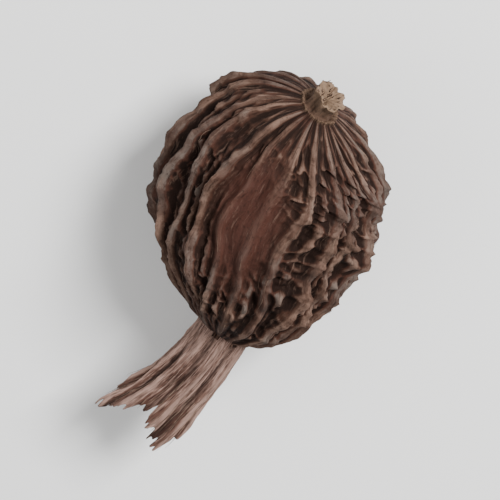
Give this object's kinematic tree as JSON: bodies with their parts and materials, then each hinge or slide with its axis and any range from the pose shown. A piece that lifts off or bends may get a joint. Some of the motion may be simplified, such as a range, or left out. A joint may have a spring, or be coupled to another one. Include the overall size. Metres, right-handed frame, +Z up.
{
  "type": "black cardamom pod",
  "caption": "Dried black cardamom pod lying on its side: a ribbed egg-shaped husk, a withered torn calyx at its tip and a short broken stalk at its base.",
  "frame": {"origin": "middle of the small flat spot under the husk, on the surface that the pod rests on", "axes": "+Z up, +X along the pod from the stalk towards the calyx"},
  "size_m": [0.0313, 0.0171, 0.0145],
  "materials": {
    "husk": "matte, dry, fibrous brown skin, darker between the ribs and paler along their crests",
    "calyx": "matte, papery, streaked along its length, pale at the torn edge",
    "stalk": "matte, woody, with pale broken fibres at its end"
  },
  "bodies": {
    "root": {"husk": "husk", "calyx": "calyx", "stalk": "stalk"}
  },
  "joints": []
}
